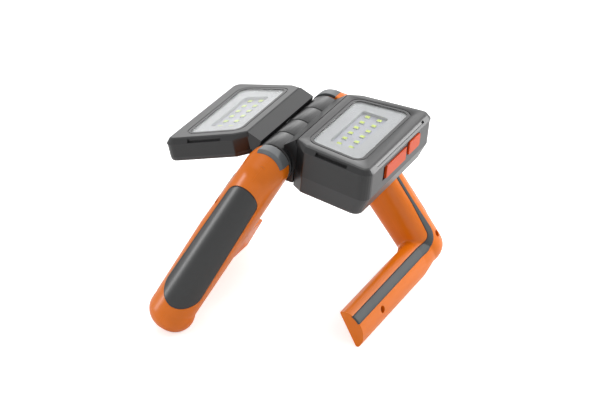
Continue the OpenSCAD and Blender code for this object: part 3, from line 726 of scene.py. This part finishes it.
def make_leg():
    """The pieces of one leg in its own frame: both shell halves, grip, strip and collar cap."""
    core = leg_form("core", -SEAT_DEPTH)
    body = leg_form("body", 0)
    remesh(body, BODY_VOXEL, BODY_ROUNDS)
    tip = block("tip", (-CUT_SIDE, -CUT_LENGTH, -CUT_REACH), (CUT_SIDE, -GRIP_HALF_L, -CUT_SIDE))

    grip = leg_form("grip", GRIP_PROUD)
    combine(grip, grip_prism("oval", -TRIM_GAP), "INTERSECT")
    combine(grip, core, "DIFFERENCE", keep_other=True)
    remesh(grip, GRIP_VOXEL, GRIP_ROUNDS)

    strip = leg_form("strip", STRIP_PROUD)
    combine(strip, strip_prism("band", -TRIM_GAP), "INTERSECT")
    combine(strip, core, "DIFFERENCE", keep_other=True)
    combine(strip, tip, "DIFFERENCE", keep_other=True)
    combine(strip, floor_block("floor_cut"), "DIFFERENCE")
    remesh(strip, TRIM_VOXEL, TRIM_ROUNDS)

    cap = leg_form("cap", CAP_PROUD)
    combine(cap, cap_sector("sector", -CAP_GAP), "INTERSECT")
    remesh(cap, TRIM_VOXEL, TRIM_ROUNDS)

    combine(body, grip_prism("oval", 0), "DIFFERENCE")
    combine(body, strip_prism("band", 0), "DIFFERENCE")
    combine(body, core, "UNION")
    combine(body, tip, "DIFFERENCE")
    combine(body, cap_sector("sector", CAP_SEAT_GAP), "DIFFERENCE")
    combine(body, floor_block("floor_cut"), "DIFFERENCE")
    for y, drop, seat in LEG_SCREWS:
        hole = post("hole", y, drop, SCREW_HOLE_R, seat - SCREW_SINK, CUT_SIDE)
        combine(body, hole, "DIFFERENCE")
    combine(body, hub_pocket("pocket"), "DIFFERENCE")

    cover = mesh_piece("cover", body.data.copy())
    foot_side = block("foot_side", (-PARTING / 2, -CUT_REACH, -CUT_REACH), (CUT_SIDE, CUT_REACH, CUT_SIDE))
    combine(cover, foot_side, "DIFFERENCE")
    far_side = block("far_side", (-CUT_SIDE, -CUT_REACH, -CUT_REACH), (PARTING / 2, CUT_REACH, CUT_SIDE))
    combine(body, far_side, "DIFFERENCE")
    return {"shell": body, "cover": cover, "grip": grip, "strip": strip, "cap": cap}


# Material, slot and replaced node of each piece of a leg
LEG_LOOKS = {
    "shell": (ORANGE, "orange_plastic", "leg_shell"),
    "cover": (ORANGE, "orange_plastic", "leg_cover"),
    "grip": (GRIP, "grip_rubber", "grip"),
    "strip": (STRIP, "strip_rubber", "strip"),
    "cap": (CAP, "cap_plastic", "collar_cap"),
}


def drop_slivers(mesh):
    """Merges the tiny edges and faces that the cuts leave."""
    form = bmesh.new()
    form.from_mesh(mesh)
    bmesh.ops.remove_doubles(form, verts=form.verts, dist=SLIVER)
    bmesh.ops.dissolve_degenerate(form, edges=form.edges, dist=SLIVER)
    form.to_mesh(mesh)
    form.free()


def smooth_by_angle(mesh, angle):
    """Smooth faces with sharp edges above an angle."""
    mesh.polygons.foreach_set("use_smooth", [True] * len(mesh.polygons))
    mesh.set_sharp_from_angle(angle=angle)


def place_legs():
    """Sets the leg's pieces on both legs; the front leg is the rear one turned half round."""
    patterns = make_leg()
    stand = Matrix.Translation(HINGE)
    swing = Matrix.Rotation(-LEG_OPEN, 4, "Y") @ Matrix.Scale(MM, 4)
    places = {"rear": stand @ swing, "front": stand @ Matrix.Rotation(math.pi, 4, "Z") @ swing}
    for key, pattern in patterns.items():
        material, slot, node = LEG_LOOKS[key]
        drop_slivers(pattern.data)
        smooth_by_angle(pattern.data, SHARP_ANGLE)
        pattern.data.materials.clear()
        pattern.data.materials.append(material)
        for side, place in places.items():
            piece = mesh_piece(f"{side}_leg_{key}_look", pattern.data.copy())
            piece.data.transform(place)
            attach(piece, side + "_leg")
            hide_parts(f"{side}_{node}")
        bpy.data.objects.remove(pattern)


# Studio

def soft_light(name, place, width, height, power):
    """Soft panel that faces the hinge."""
    light = bpy.data.lights.new(name, "AREA")
    light.shape = "RECTANGLE"
    light.size = width
    light.size_y = height
    light.energy = power
    lamp = bpy.data.objects.new(name, light)
    lamp.location = place
    lamp.rotation_euler = (HINGE - lamp.location).to_track_quat("-Z", "Y").to_euler()
    bpy.context.scene.collection.objects.link(lamp)


def make_world():
    """Even white light all round, and plain white where the camera looks past the floor."""
    world = bpy.data.worlds.new("studio")
    bpy.context.scene.world = world
    world.use_nodes = True
    nodes, links = world.node_tree.nodes, world.node_tree.links
    background = nodes["Background"]
    background.inputs["Color"].default_value = (1, 1, 1, 1)
    path = nodes.new("ShaderNodeLightPath")
    level = spread(nodes, links, path.outputs["Is Camera Ray"], WORLD_LEVEL, 1)
    links.new(level, background.inputs["Strength"])


def make_floor():
    """Pale paper floor, lifted towards white for the camera alone, that keeps the light's shadow."""
    floor = block("floor", (-FLOOR_HALF, -FLOOR_HALF, -FLOOR_T), (FLOOR_HALF, FLOOR_HALF, -FLOOR_GAP))
    material, nodes, links, shader = new_material("floor_paper")
    patches = noise(nodes, links, FLOOR_SCALE)
    paper = ramp(nodes, links, patches, FLOOR_DARK, FLOOR_PALE)
    links.new(paper, shader.inputs["Base Color"])
    shader.inputs["Roughness"].default_value = 0.9
    shader.inputs["Specular IOR Level"].default_value = 0.1
    shader.inputs["Emission Color"].default_value = (1, 1, 1, 1)
    path = nodes.new("ShaderNodeLightPath")
    lift = spread(nodes, links, path.outputs["Is Camera Ray"], 0, FLOOR_LIFT)
    links.new(lift, shader.inputs["Emission Strength"])
    floor.data.materials.append(material)


def make_studio():
    """Pale floor and soft light all round, with soft panels above, behind and beside."""
    bpy.context.scene.view_settings.view_transform = "Standard"
    make_world()
    make_floor()
    for name, place, width, height, power in SOFT_LIGHTS:
        soft_light(name, place, width, height, power)


def make_camera():
    """Camera that frames the light as the photograph does."""
    camera = bpy.data.cameras.new("camera")
    camera.sensor_fit = "HORIZONTAL"
    camera.lens = camera.sensor_width * FOCAL_PX / PHOTO_W
    camera.clip_end = CLIP_END
    level = math.cos(VIEW_ELEVATION)
    rise = math.sin(VIEW_ELEVATION)
    back = Vector((math.sin(VIEW_AZIMUTH) * level, -math.cos(VIEW_AZIMUTH) * level, rise))
    tilt = math.atan(HINGE_ABOVE_CENTRE_PX / FOCAL_PX)
    pitch = Matrix.Rotation(math.pi / 2 - VIEW_ELEVATION - tilt, 4, "X")
    turn = Matrix.Rotation(VIEW_AZIMUTH, 4, "Z") @ pitch @ Matrix.Rotation(VIEW_ROLL, 4, "Z")
    eye = bpy.data.objects.new("camera", camera)
    eye.matrix_world = Matrix.Translation(HINGE + back * VIEW_DISTANCE) @ turn
    bpy.context.scene.collection.objects.link(eye)
    bpy.context.scene.camera = eye


dress_nodes()
place_leds()
place_legs()
make_studio()
make_camera()
